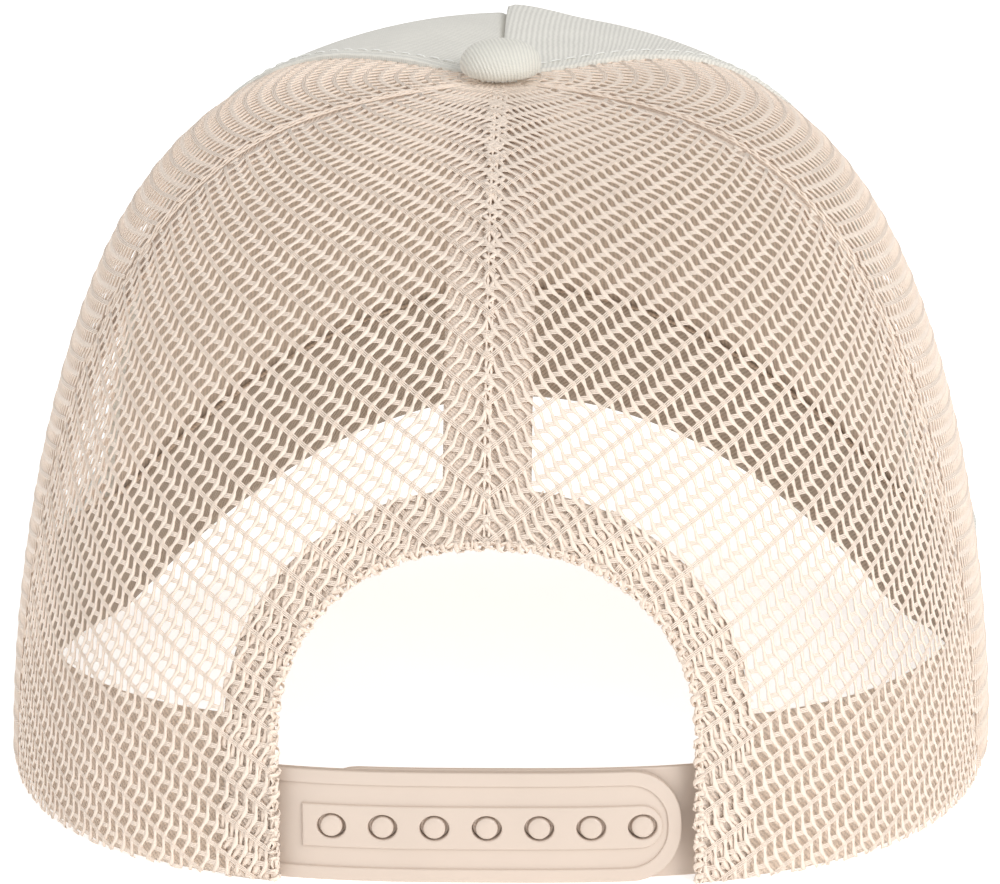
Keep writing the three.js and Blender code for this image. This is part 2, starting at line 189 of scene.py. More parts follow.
class Gore:
    """Flat layout of the crown between two angles. across is the distance from the middle
    meridian along a level line and up is the distance climbed along that meridian."""

    def __init__(self, from_angle, to_angle, spare=0.12):
        self.middle = (from_angle + to_angle) / 2
        self.half = (to_angle - from_angle) / 2
        rows, columns = 260, 121
        below = np.linspace(0, math.pi / 2 - 0.06, rows - 60)
        near_top = math.pi / 2 - np.geomspace(0.058, 0.0006, 60)
        self.climbs = np.concatenate([below, near_top])
        wide = self.half + spare
        angles = np.linspace(self.middle - wide, self.middle + wide, columns)
        grid_angle, grid_climb = np.meshgrid(angles, self.climbs)
        points = crown(grid_angle, grid_climb)
        steps = np.linalg.norm(np.diff(points, axis=1), axis=-1)
        along = np.concatenate([np.zeros((rows, 1)), np.cumsum(steps, axis=1)], axis=1)
        along -= along[:, columns // 2][:, None]
        centre = points[:, columns // 2]
        self.up = run_length(centre)
        self.left = np.array([np.interp(self.middle - self.half, angles, row) for row in along])
        self.right = np.array([np.interp(self.middle + self.half, angles, row) for row in along])
        self.shares = np.linspace(-1.25, 1.25, 161)
        self.table = np.empty((rows, len(self.shares)))
        for index in range(rows):
            width = (self.right[index] - self.left[index]) / 2
            self.table[index] = np.interp(self.shares * width, along[index], angles)
        self.width = (self.right - self.left) / 2
        self.length = self.up[-1]

    def place(self, across, up):
        """Angle, climb and how far out to the seam, from -1 to 1, for places in the layout."""
        width = np.interp(up, self.up, self.width)
        share = across / np.maximum(width, 1e-6)
        row = np.interp(up, self.up, np.arange(len(self.up)))
        low = np.clip(row.astype(int), 0, len(self.up) - 2)
        part = row - low
        column = (np.clip(share, -1.24, 1.24) + 1.25) / (self.shares[1] - self.shares[0])
        left = np.clip(column.astype(int), 0, len(self.shares) - 2)
        rest = column - left
        top = self.table[low + 1, left] * (1 - rest) + self.table[low + 1, left + 1] * rest
        bottom = self.table[low, left] * (1 - rest) + self.table[low, left + 1] * rest
        angle = bottom * (1 - part) + top * part
        climb = np.interp(up, self.up, self.climbs)
        return angle, climb, share, width


# Opening at the back

def arch_distance(x, z):
    """Distance outwards from the arched opening's edge, about, in millimetres."""
    lift = np.maximum(0, z - ARCH_SPRING)
    power = ARCH_SQUARENESS
    rise = ARCH_TOP - ARCH_SPRING
    size = (np.abs(x / ARCH_HALF_WIDTH) ** power + np.abs(lift / rise) ** power) ** (1 / power)
    reach = np.hypot(x, lift) / np.maximum(size, 1e-6)
    return (size - 1) * reach


def arch_edge(count, margin=0.0):
    """Points in X and Z along the opening's edge, from one foot to the other."""
    half = ARCH_HALF_WIDTH + margin
    turns = np.linspace(0, math.pi, count)
    side = np.sign(np.cos(turns)) * np.abs(np.cos(turns)) ** (2 / ARCH_SQUARENESS)
    lift = np.sin(turns) ** (2 / ARCH_SQUARENESS)
    x = half * side
    z = ARCH_SPRING + (ARCH_TOP + margin - ARCH_SPRING) * lift
    foot = np.linspace(0, ARCH_SPRING, count // 4, endpoint=False)
    x = np.concatenate([np.full(len(foot), half), x, np.full(len(foot), -half)])
    z = np.concatenate([foot, z, foot[::-1]])
    return x, z


def back_place(x, z):
    """Angle and climb of places on the back of the crown, from X and height."""
    angle = np.arctan2(x, 98.0)
    for _ in range(12):
        climb = climb_at_height(angle, z)
        radius = rim_radius(angle) * np.cos(climb) ** (2 / fullness(angle, 0))
        angle = np.arcsin(np.clip(x / radius, -1, 1))
    return angle, climb_at_height(angle, z)


# Mesh helpers

def make_object(name, points, faces, materials, body="root", slots=None, uv=None, crease=None):
    """Mesh object from points in millimetres and equal-sided faces or a list of faces."""
    mesh = bpy.data.meshes.new(name)
    if isinstance(faces, np.ndarray):
        sides = faces.shape[1]
        mesh.vertices.add(len(points))
        mesh.vertices.foreach_set("co", (np.asarray(points) * MM).astype(np.float32).ravel())
        mesh.loops.add(faces.size)
        mesh.loops.foreach_set("vertex_index", faces.astype(np.int32).ravel())
        mesh.polygons.add(len(faces))
        mesh.polygons.foreach_set("loop_start", np.arange(0, faces.size, sides, dtype=np.int32))
        mesh.update(calc_edges=True)
    else:
        mesh.from_pydata((np.asarray(points) * MM).tolist(), [], faces)
        mesh.update()
    for material in materials:
        mesh.materials.append(material)
    if slots is not None:
        mesh.polygons.foreach_set("material_index", np.asarray(slots, dtype=np.int32))
    if uv is not None:
        layer = mesh.uv_layers.new(name="UVMap")
        loops = np.empty(len(mesh.loops), dtype=np.int32)
        mesh.loops.foreach_get("vertex_index", loops)
        layer.data.foreach_set("uv", np.asarray(uv, dtype=np.float32)[loops].ravel())
    mesh.polygons.foreach_set("use_smooth", np.full(len(mesh.polygons), True))
    mesh.validate()
    if crease is not None:
        mesh.set_sharp_from_angle(angle=math.radians(crease))
    piece = bpy.data.objects.new(name, mesh)
    bpy.context.scene.collection.objects.link(piece)
    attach(piece, body)
    return piece


def skin_wall(columns, rows, place, uv_place):
    """Closed wall from two skins of a grid. place(u, v, skin) gives points for share arrays."""
    u, v = np.meshgrid(np.linspace(0, 1, columns + 1), np.linspace(0, 1, rows + 1))
    outer = place(u, v, 0).reshape(-1, 3)
    inner = place(u, v, 1).reshape(-1, 3)
    flat = uv_place(u, v).reshape(-1, 2)
    index = np.arange((rows + 1) * (columns + 1)).reshape(rows + 1, columns + 1)
    shift = index.size
    low, right, high, left = index[:-1, :-1], index[:-1, 1:], index[1:, 1:], index[1:, :-1]
    front = np.stack([low, left, high, right], -1).reshape(-1, 4)
    back = np.stack([low, right, high, left], -1).reshape(-1, 4) + shift
    rim = []
    for edge in (index[0], index[:, -1], index[-1, ::-1], index[::-1, 0]):
        rim.append(np.stack([edge[:-1], edge[1:], edge[1:] + shift, edge[:-1] + shift], -1))
    rim = np.concatenate(rim)
    faces = np.concatenate([front, back, rim])
    slots = np.concatenate([np.zeros(len(front)), np.ones(len(back)), np.zeros(len(rim))])
    return np.concatenate([outer, inner]), faces, slots, np.concatenate([flat, flat])


def tubes(points, normals, keep, half_wide, half_thick, sides):
    """Closed tubes along strands. points is strands x steps x 3, keep says which points stay."""
    strands, steps, _ = points.shape
    along = np.gradient(points, axis=1)
    along /= np.maximum(np.linalg.norm(along, axis=-1, keepdims=True), 1e-9)
    side = np.cross(along, normals)
    side /= np.maximum(np.linalg.norm(side, axis=-1, keepdims=True), 1e-9)
    turns = np.arange(sides) * 2 * math.pi / sides + math.pi / 2 - math.pi / sides
    half_wide = np.broadcast_to(half_wide, keep.shape)[..., None, None]
    half_thick = np.broadcast_to(half_thick, keep.shape)[..., None, None]
    ring = (
        points[:, :, None]
        + side[:, :, None] * np.cos(turns)[None, None, :, None] * half_wide
        + normals[:, :, None] * np.sin(turns)[None, None, :, None] * half_thick
    )
    ring[..., 2] = np.maximum(ring[..., 2], FLOOR_CLEARANCE)
    index = np.arange(strands * steps * sides).reshape(strands, steps, sides)
    both = keep[:, :-1] & keep[:, 1:]
    a, b = index[:, :-1][both], index[:, 1:][both]
    quads = np.stack([a, np.roll(a, -1, 1), np.roll(b, -1, 1), b], -1).reshape(-1, 4)
    padded = np.pad(both, ((0, 0), (1, 1)))
    starts = padded[:, 1:] & ~padded[:, :-1]
    ends = padded[:, :-1] & ~padded[:, 1:]
    first, last = index[starts][:, ::-1], index[ends]
    return ring.reshape(-1, 3), quads, np.concatenate([first, last])


def join_tubes(parts):
    """One list of points and faces from several tube sets, without unused points."""
    points, faces, shift = [], [], 0
    for ring, quads, caps in parts:
        points.append(ring)
        faces += [quads + shift, caps + shift]
        shift += len(ring)
    points = np.concatenate(points)
    used = np.unique(np.concatenate([part.ravel() for part in faces]))
    renumber = np.zeros(len(points), dtype=np.int64)
    renumber[used] = np.arange(len(used))
    lists = []
    for part in faces:
        lists += renumber[part].tolist()
    return points[used], lists


# Materials

def linear(colour):
    return tuple(c / 12.92 if c <= 0.04045 else ((c + 0.055) / 1.055) ** 2.4 for c in colour) + (1.0,)


class Shader:
    """Small helper that adds nodes to one material."""

    def __init__(self, name, roughness, **settings):
        self.material = bpy.data.materials.new(name)
        self.material.use_nodes = True
        self.tree = self.material.node_tree
        self.surface = self.tree.nodes["Principled BSDF"]
        self.surface.inputs["Roughness"].default_value = roughness
        for socket, value in settings.items():
            self.surface.inputs[socket.replace("_", " ")].default_value = value

    def node(self, kind, **inputs):
        node = self.tree.nodes.new(kind)
        for socket, value in inputs.items():
            target = node.inputs[int(socket[1:])] if socket[0] == "i" and socket[1:].isdigit() else None
            target = target or node.inputs[socket.replace("_", " ")]
            if isinstance(value, bpy.types.NodeSocket):
                self.tree.links.new(value, target)
            else:
                target.default_value = value
        return node

    def math(self, operation, first, second=0.0):
        node = self.node("ShaderNodeMath", i0=first, i1=second)
        node.operation = operation
        return node.outputs[0]

    def coordinates(self, kind="Object"):
        return self.node("ShaderNodeTexCoord").outputs[kind]

    def noise(self, where, scale, detail=3.0, roughness=0.55):
        settings = {"Scale": scale, "Detail": detail, "Roughness": roughness}
        node = self.node("ShaderNodeTexNoise", Vector=where, **settings)
        return node.outputs["Fac"]

    def ramp(self, factor, stops):
        node = self.node("ShaderNodeValToRGB", Fac=factor)
        ramp = node.color_ramp
        while len(ramp.elements) < len(stops):
            ramp.elements.new(0.5)
        for element, (place, colour) in zip(ramp.elements, stops):
            element.position = place
            element.color = colour
        return node.outputs["Color"]

    def mix(self, factor, first, second, blend="MIX"):
        node = self.tree.nodes.new("ShaderNodeMix")
        node.data_type = "RGBA"
        node.blend_type = blend
        for socket, value in (("Factor", factor), ("A", first), ("B", second)):
            target = [i for i in node.inputs if i.name == socket and i.enabled][0]
            if isinstance(value, bpy.types.NodeSocket):
                self.tree.links.new(value, target)
            else:
                target.default_value = value
        return [o for o in node.outputs if o.enabled][0]

    def colour(self, socket):
        self.tree.links.new(socket, self.surface.inputs["Base Color"])

    def bump(self, height, distance, strength=1.0):
        node = self.node("ShaderNodeBump", Height=height, Distance=distance, Strength=strength)
        self.tree.links.new(node.outputs["Normal"], self.surface.inputs["Normal"])


def shade(colour, factor):
    return linear(tuple(min(1.0, c * factor) for c in colour))


def twill_material(name, colour, rib, lean, depth=0.00012, contrast=0.93, roughness=0.85):
    """Twill: slanting ribs so many millimetres apart over the flat layout, with fine yarns."""
    shader = Shader(name, roughness, Sheen_Weight=0.15, Sheen_Roughness=0.5)
    where = shader.coordinates("UV")
    turned = shader.node("ShaderNodeMapping", Vector=where)
    turned.inputs["Rotation"].default_value = (0, 0, math.radians(lean))
    turned.inputs["Scale"].default_value = (1 / rib, 1 / rib, 1)
    shake = shader.noise(where, 0.7, 2.0)
    parts = shader.node("ShaderNodeSeparateXYZ", Vector=turned.outputs[0])
    wobble = shader.math("MULTIPLY", shake, 0.5)
    phase = shader.math("ADD", parts.outputs["X"], wobble)
    wave = shader.math("SINE", shader.math("MULTIPLY", phase, 2 * math.pi))
    cross = shader.math("SINE", shader.math("MULTIPLY", parts.outputs["Y"], 2 * math.pi * 1.6))
    yarn = shader.math("ADD", wave, shader.math("MULTIPLY", cross, 0.35))
    height = shader.math("ADD", shader.math("MULTIPLY", yarn, 0.4), 0.5)
    fluff = shader.noise(where, 9.0, 4.0, 0.7)
    mottle = shader.noise(where, 0.12, 3.0)
    ribs = shader.ramp(height, [(0.0, shade(colour, contrast)), (0.7, linear(colour))])
    worn = shader.ramp(mottle, [(0.3, shade((1, 1, 1), 0.975)), (0.7, (1, 1, 1, 1))])
    tinted = shader.mix(1.0, ribs, worn, "MULTIPLY")
    speck = shader.ramp(fluff, [(0.3, shade((1, 1, 1), 0.96)), (0.65, (1, 1, 1, 1))])
    shader.colour(shader.mix(1.0, tinted, speck, "MULTIPLY"))
    rough = shader.math("ADD", shader.math("MULTIPLY", fluff, 0.4), height)
    shader.bump(rough, depth)
    return shader.material


def net_material(name, colour):
    """Shiny knitted yarn: fine fibres and slight colour drift."""
    shader = Shader(name, 0.42, Sheen_Weight=0.1, Sheen_Roughness=0.4)
    where = shader.coordinates("Object")
    fibre = shader.noise(where, 5200.0, 2.0, 0.6)
    drift = shader.noise(where, 60.0, 2.0)
    base = shader.ramp(drift, [(0.3, shade(colour, 0.97)), (0.7, linear(colour))])
    streak = shader.ramp(fibre, [(0.3, shade((1, 1, 1), 0.93)), (0.6, (1, 1, 1, 1))])
    shader.colour(shader.mix(1.0, base, streak, "MULTIPLY"))
    shader.bump(fibre, 0.00005, 0.6)
    return shader.material


def plastic_material(name, colour):
    """Moulded soft plastic with a faint grain and tiny scuffs."""
    shader = Shader(name, 0.42, Coat_Weight=0.05)
    where = shader.coordinates("Object")
    grain = shader.noise(where, 1400.0, 4.0, 0.6)
    cloud = shader.noise(where, 70.0, 2.0)
    base = shader.ramp(cloud, [(0.3, shade(colour, 0.985)), (0.7, linear(colour))])
    shader.colour(base)
    rough = shader.ramp(grain, [(0.3, (0.38, 0.38, 0.38, 1)), (0.7, (0.5, 0.5, 0.5, 1))])
    shader.tree.links.new(rough, shader.surface.inputs["Roughness"])
    shader.bump(grain, 0.00003, 0.5)
    return shader.material


twill = twill_material("front twill", TWILL, 0.8, 27, contrast=0.9)
button_twill = twill_material("button twill", BUTTON_TWILL, 0.72, -12, contrast=0.92)
buckram = twill_material("front lining", BUCKRAM, 0.9, 0, contrast=0.9)
tape_cloth = twill_material("seam tape", TAPE, 0.62, 48, depth=0.00016, contrast=0.88)
band_cloth = twill_material("sweatband cloth", BAND, 0.7, 42, depth=0.00014, contrast=0.88)
# Same twill as the sweatband cloth in a darker colour: painted shade on the band's inner face
band_painted_shade = twill_material("sweatband painted shade", BAND_PAINTED_SHADE, 0.7, 42, depth=0.00014, contrast=0.88)
net_yarn = net_material("net yarn", NET)
strap_plastic = plastic_material("strap plastic", PLASTIC)
thread = net_material("sewing thread", THREAD)


# Net panels

NET_PITCH = 2.1
NET_ROW = 2.65
NET_BIAS = math.radians(34)
SIDE_BIAS = math.radians(-7)
NET_SHEAR = 0.3
NET_ZIGZAG = 0.3
YARN_HALF_WIDE = 0.46
YARN_HALF_THICK = 0.17
FILAMENT_RADIUS = 0.14
FILAMENT_SPACING = 0.27
STEP_LEAN = -0.46
NET_INSET = 0.45
NET_TOP_RADIUS = 3.2
HEM_NET_MARGIN = 0.3
SEAM_OFFSET = 0.42
SEAM_INSET = 0.42
SEAM_SUNK = 0.16
SEAM_PUCKER = 0.06
SEAM_PUCKER_PITCH = 2.3


def net_parts(gore, hand, bias, inset, keep_place, offset=(0.0, 0.0), full=1.0):
    """Tube sets of knitted net over one gore. hand mirrors the cloth, bias turns its courses,
    and keep_place says where the net is, from angle, climb, distance to the seam and place."""
    reach = math.hypot(gore.width.max(), gore.length) * 0.75
    centre = np.array([0.0, gore.length / 2])
    turn = np.array([[math.cos(bias), -math.sin(bias)], [math.sin(bias), math.cos(bias)]])

    def lay(along, over, lift):
        """Points, normals and keep mask for places in the cloth's own directions."""
        along = along + NET_SHEAR * over
        flat = np.stack([along + offset[0], over + offset[1]], -1) @ turn.T + centre
        angle, climb, share, width = gore.place(hand * flat[..., 0], flat[..., 1])
        points = inside(angle, climb, inset - lift)
        within = (np.abs(share) <= 1.0) & (flat[..., 1] >= 0) & (flat[..., 1] <= gore.length)
        keep = within & keep_place(angle, climb, share * width, points)
        return points, crown_normal(angle, climb), keep

    wales = np.arange(-math.ceil(reach / NET_PITCH), math.ceil(reach / NET_PITCH) + 1)
    rows = np.arange(-math.ceil(reach / NET_ROW), math.ceil(reach / NET_ROW) + 1)
    parts = []

    # Chains of loops that run up the cloth and swing to and fro
    steps = 4
    over = np.arange(rows[0] * steps, rows[-1] * steps + 1) * (NET_ROW / steps)
    along = wales[:, None] * NET_PITCH + NET_ZIGZAG * np.cos(math.pi * over / NET_ROW)[None, :]
    over_grid = np.broadcast_to(over, along.shape)
    points, normals, keep = lay(along, over_grid, 0.0)
    swell = 1 + 0.36 * np.cos(2 * math.pi * over_grid / NET_ROW)
    parts.append(tubes(points, normals, keep, YARN_HALF_WIDE * swell * full, YARN_HALF_THICK, 4))

    # Straight threads that run across every second row, three side by side
    half = NET_PITCH / 2
    along_line = np.arange(wales[0] * 2, wales[-1] * 2 + 1) * half
    straight = rows[rows % 2 == 0]
    for line in (-1, 0, 1):
        over_line = straight[:, None] * NET_ROW + line * FILAMENT_SPACING
        over_grid = np.broadcast_to(over_line, (len(straight), len(along_line)))
        along_grid = np.broadcast_to(along_line, over_grid.shape)
        lift = 0.07 + 0.12 * np.cos(2 * math.pi * along_grid / NET_PITCH)
        points, normals, keep = lay(along_grid, over_grid, lift)
        parts.append(tubes(points, normals, keep, FILAMENT_RADIUS, FILAMENT_RADIUS, 3))

    # Short threads that step from one chain to the next in the rows between
    stepped = rows[rows % 2 == 1]
    ends = np.array([-0.08, 0.5, 1.08])
    for line in (-1, 0, 1):
        row_grid, wale_grid = np.meshgrid(stepped, wales, indexing="ij")
        start = wale_grid.ravel()[:, None] * NET_PITCH - NET_ZIGZAG
        along_grid = start + ends[None, :] * NET_PITCH
        centre_row = row_grid.ravel()[:, None] * NET_ROW + line * FILAMENT_SPACING
        over_grid = centre_row + (ends[None, :] - 0.5) * 2 * STEP_LEAN
        lift = np.broadcast_to(np.array([0.0, 0.09, 0.0]), over_grid.shape)
        points, normals, keep = lay(along_grid, over_grid, lift)
        parts.append(tubes(points, normals, keep, FILAMENT_RADIUS, FILAMENT_RADIUS, 3))
    return parts


def on_panel(angle, climb, across, points):
    radius = np.hypot(points[..., 0], points[..., 1] - AXIS_Y)
    opening = arch_distance(points[..., 0], points[..., 2])
    behind = points[..., 1] > AXIS_Y
    return (radius > NET_TOP_RADIUS) & ((opening > 0) | ~behind)


def in_hem(angle, climb, across, points):
    opening = arch_distance(points[..., 0], points[..., 2])
    return (opening > HEM_NET_MARGIN) & (opening < HEM_WIDTH)


def run_stitches(path_points, path_normals, pitch, length, radius, sunk=0.12):
    """Tubes for a row of stitches along a path, each dipping into the cloth at its ends."""
    far = run_length(path_points)
    count = int(far[-1] / pitch)
    shares = np.linspace(-0.5, 0.5, 5)
    where = (np.arange(count)[:, None] + 0.5) * pitch + shares[None, :] * length
    points = np.stack([np.interp(where, far, path_points[:, k]) for k in range(3)], -1)
    normals = np.stack([np.interp(where, far, path_normals[:, k]) for k in range(3)], -1)
    lift = radius * 0.7 - (sunk + radius) * (2 * shares) ** 4
    points = points + normals * lift[None, :, None]
    keep = np.ones(where.shape, dtype=bool)
    return tubes(points, normals, keep, radius, radius * 0.8, 6)


def seam_path(seam, shift, low_climb, high_climb, inset, count=400):
    climb = np.linspace(low_climb, high_climb, count)
    angle = seam + np.sign(shift) * span_angle(seam + 0 * climb, climb, abs(shift))
    return inside(angle, climb, inset), crown_normal(angle, climb)


def span_angle(angle, climb, distance):
    ground = ground_distance(angle, climb)
    return np.arcsin(np.minimum(1, distance / np.maximum(ground, 1e-6)))


def build_seam(name, seam, low_height):
    """Puckered ridge of two turned-in edges."""
    low = float(climb_at_height(np.array(seam), low_height))
    high = float(climb_at_radius(np.array(seam), 4.5))
    parts = []
    for hand, shift in ((0, -SEAM_OFFSET), (1, SEAM_OFFSET)):
        points, normals = seam_path(seam, shift, low, high, SEAM_INSET, 420)
        far = run_length(points)
        pucker = np.sin(far * 2 * math.pi / SEAM_PUCKER_PITCH + hand * 2.1)
        thick = 0.24 + SEAM_PUCKER * pucker + 0.03 * np.sin(far * 5.1)
        points = points + normals * (SEAM_PUCKER * pucker - SEAM_SUNK)[:, None]
        keep = np.ones((1, len(far)), dtype=bool)
        parts.append(tubes(points[None], normals[None], keep, thick[None], thick[None] * 0.8, 5))
    points, faces = join_tubes(parts)
    piece = make_object(name, points, faces, [net_yarn])
    return piece


def build_net(name, node, from_angle, to_angle, hand, bias, offset, seams):
    gore = Gore(from_angle, to_angle)
    parts = net_parts(gore, hand, bias, NET_INSET, on_panel, offset)
    points, faces = join_tubes(parts)
    piece = make_object(name, points, faces, [net_yarn])
    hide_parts(node)


seam_back = build_seam("seam_back", 0.0, ARCH_TOP + 2.0)
for side, sign in (("left", 1), ("right", -1)):
    seam_side = build_seam(f"seam_side_{side}", sign * SIDE_SEAM, 0.3)
    seam_front = build_seam(f"seam_front_{side}", sign * (FRONT_SEAM - 0.012), 5.0)
    back_seams = sorted((0.0, sign * SIDE_SEAM))
    side_seams = sorted((sign * SIDE_SEAM, sign * FRONT_SEAM))
    on_back = [seam_side, seam_back] if sign > 0 else [seam_side]
    back_offset = (0.3 * sign, 0.4)
    side_offset = (0.9 * sign, 1.1)
    back_names = (f"net_back_{side}", f"mesh_back_{side}")
    side_names = (f"net_side_{side}", f"mesh_side_{side}")
    build_net(*back_names, *back_seams, sign, NET_BIAS, back_offset, on_back)
    build_net(*side_names, *side_seams, sign, SIDE_BIAS, side_offset, [seam_front])


# Front panels

FOLD_HEIGHT = 1.5
FOLD_WIDTH = 15.0
FOLD_CLIMB = (0, 30, 55, 72, 82, 90)
FOLD_PROUD = (0, 0.15, 0.7, 1.0, 0.7, 0.2)
TOP_STITCH_AWAY = 2.9
TOP_STITCH_PITCH = 3.0
TOP_STITCH_LENGTH = 2.3
TOP_STITCH_RADIUS = 0.14


def fold_proud(angle, climb):
    across = np.abs(crown(angle, climb)[..., 0])
    near = np.maximum(0, 1 - across / FOLD_WIDTH)
    share = np.interp(np.degrees(climb), FOLD_CLIMB, FOLD_PROUD)
    return FOLD_HEIGHT * share * near * near * (3 - 2 * near)


def front_panel(side, stitch):
    sign = 1 if side == "left" else -1
    first, last = sorted((sign * FRONT_SEAM, sign * math.pi))
    gore = Gore(first, last)

    def spread(u, v):
        middle = first + (last - first) * u
        climb = v * climb_at_radius(middle, 2.9)
        low = first + span_angle(first + 0 * climb, climb, 0.01)
        high = last - span_angle(last + 0 * climb, climb, 0.01)
        return low + (high - low) * u, climb

    def place(u, v, skin):
        angle, climb = spread(u, v)
        ground = ground_distance(angle, climb)
        to_middle = np.abs(math.pi - np.abs(angle)) * ground
        to_mesh = np.abs(np.abs(angle) - FRONT_SEAM) * ground
        inset = skin * FRONT_WALL
        if side == "right":
            inset = inset - fold_proud(angle, climb)
        if skin == 0:
            inset = inset + 0.55 * np.exp(-((to_middle / 0.7) ** 2)) * (1 if side == "left" else 0.7)
            welt = smooth(0.0, 0.5, to_mesh) * np.exp(-to_mesh / 9) * smooth(7, 22, ground)
            inset = inset - 0.45 * welt
            inset = inset + 0.16 * np.exp(-(((to_mesh - 1.3) / 0.5) ** 2))
            degrees = np.degrees(climb)
            ripple = np.sin(degrees * 0.9 + 2.0 * sign) + 0.6 * np.sin(degrees * 2.3)
            inset = inset + 0.07 * ripple * np.exp(-to_mesh / 5)
        return inside(angle, climb, inset)

    def uv_place(u, v):
        angle, climb = spread(u, v)
        ground = ground_distance(angle, climb)
        up = np.interp(climb, gore.climbs, gore.up)
        return np.stack([(angle - gore.middle) * ground, up], -1)

    points, faces, slots, uv = skin_wall(90, 120, place, uv_place)
    piece = make_object(f"front_twill_{side}", points, faces, [twill, buckram], slots=slots, uv=uv)
    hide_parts(f"front_panel_{side}")


def build_top_stitch(side):
    sign = 1 if side == "left" else -1
    high = float(climb_at_radius(np.array(FRONT_SEAM), 7.5))
    low = float(climb_at_height(np.array(FRONT_SEAM), 3.0))
    points, normals = seam_path(sign * FRONT_SEAM, sign * TOP_STITCH_AWAY, low, high, -0.4)
    row = run_stitches(points, normals, TOP_STITCH_PITCH, TOP_STITCH_LENGTH, TOP_STITCH_RADIUS)
    points, faces = join_tubes([row])
    piece = make_object(f"top_stitch_{side}", points, faces, [thread])
    return piece


for side in ("left", "right"):
    front_panel(side, build_top_stitch(side))


# Brim

BRIM_LENGTH = 70.0
BRIM_HALF_WIDTH = 86.0
BRIM_THICKNESS = 3.0
BRIM_TIP_DROP = 5.0
BRIM_SPREAD = 40.0
BRIM_ROWS = 6
BRIM_ROW_FIRST = 4.5
BRIM_ROW_PITCH = 7.0
BRIM_OUTLINE = (
    (0.0, 0.885), (0.12, 0.945), (0.25, 0.985), (0.38, 1.0), (0.52, 0.975), (0.66, 0.9),
    (0.78, 0.775), (0.88, 0.6), (0.95, 0.41), (0.987, 0.21), (1.0, 0.0),
)


def brim_edge(share):
    """Outline of the brim in plan about the crown's axis, as a smooth curve through its rows."""
    tip = -(FRONT_REACH + BRIM_LENGTH)
    reach = tip - TEMPLE_ALONG
    half = [(wide * BRIM_HALF_WIDTH, TEMPLE_ALONG + reach * far) for far, wide in BRIM_OUTLINE]
    knots = np.array(half + [(-x, y) for x, y in half[-2::-1]])
    place = share * (len(knots) - 1)
    index = np.clip(place.astype(int), 0, len(knots) - 2)
    part = (place - index)[..., None]
    before = knots[np.maximum(index - 1, 0)]
    start, end = knots[index], knots[index + 1]
    after = knots[np.minimum(index + 2, len(knots) - 1)]
    first, second = (end - before) / 2, (after - start) / 2
    cubic = 2 * start - 2 * end + first + second
    square = -3 * start + 3 * end - 2 * first - second
    return cubic * part ** 3 + square * part ** 2 + first * part + start


def brim_place(u, v, height):
    """Point on the brim for shares across and outwards, and a height over its underside."""
    angle = TEMPLE + (2 * math.pi - 2 * TEMPLE) * u
    root = inside(angle, 0 * angle, -PIECE_GAP)
    edge = brim_edge(u)
    start = root[..., :2] - np.array([0, AXIS_Y])
    outward = edge - start
    length = np.linalg.norm(outward, axis=-1)
    spot = start + outward * v[..., None]
    distance = length * v
    spread = np.minimum(1, distance / BRIM_SPREAD)
    half_width = TEMPLE_ACROSS + (BRIM_HALF_WIDTH - TEMPLE_ACROSS) * spread * (2 - spread)
    ridge = BRIM_RISE - BRIM_TIP_DROP * distance / BRIM_LENGTH
    low = arch_height(spot[..., 0], half_width, ridge)
    return np.stack([spot[..., 0], spot[..., 1] + AXIS_Y, low + height], -1), length


def build_brim():
    rows, columns = 84, 160
    edge_part = 6

    def shape(v):
        """Outward share and how far into the rounded edge each row lies."""
        inner = np.minimum(v / (1 - edge_part / rows), 1)
        turn = np.clip((v - (1 - edge_part / rows)) / (edge_part / rows), 0, 1)
        return inner, turn

    def place(u, v, skin):
        inner, turn = shape(v)
        _, length = brim_place(u, inner, 0.0)
        round_off = np.minimum(1.4, length / 2)
        out = (length - round_off) / length * inner + round_off / length * np.sin(turn * math.pi / 2)
        half = BRIM_THICKNESS / 2
        thick = half * (0.12 + 0.88 * np.sqrt(np.maximum(0, 1 - turn ** 2)))
        height = half - thick if skin == 0 else half + thick
        point, _ = brim_place(u, out, 0.0)
        groove = 0.0
        for row in range(BRIM_ROWS):
            away = length * (1 - out) - (BRIM_ROW_FIRST + BRIM_ROW_PITCH * row)
            groove = groove + np.exp(-((away / 0.75) ** 2)) * (turn == 0)
        height = height + (0.2 if skin == 0 else -0.2) * groove
        point[..., 2] += height
        return point

    def uv_place(u, v):
        inner, turn = shape(v)
        point, _ = brim_place(u, inner, 0.0)
        return point[..., :2] * (1 + 0.016 * turn[..., None])

    points, faces, _, uv = skin_wall(columns, rows, place, uv_place)
    piece = make_object("brim_cloth", points, faces, [twill], uv=uv)
    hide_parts("brim")

    parts = []
    for row in range(BRIM_ROWS):
        share = np.linspace(0.012, 0.988, 900)
        _, length = brim_place(share, 0 * share, 0.0)
        out = np.maximum(0, 1 - (BRIM_ROW_FIRST + BRIM_ROW_PITCH * row) / length)
        share, out = share[out > 0.04], out[out > 0.04]
        points, _ = brim_place(share, out, BRIM_THICKNESS)
        ahead, _ = brim_place(np.minimum(share + 0.001, 1), out, BRIM_THICKNESS)
        beyond, _ = brim_place(share, out + 0.01, BRIM_THICKNESS)
        normals = np.cross(ahead - points, beyond - points)
        normals *= np.sign(normals[:, 2:3])
        normals /= np.linalg.norm(normals, axis=-1, keepdims=True)
        parts.append(run_stitches(points - normals * 0.02, normals, 2.6, 1.9, 0.2))
    points, faces = join_tubes(parts)
    rows = make_object("brim_stitch", points, faces, [thread])


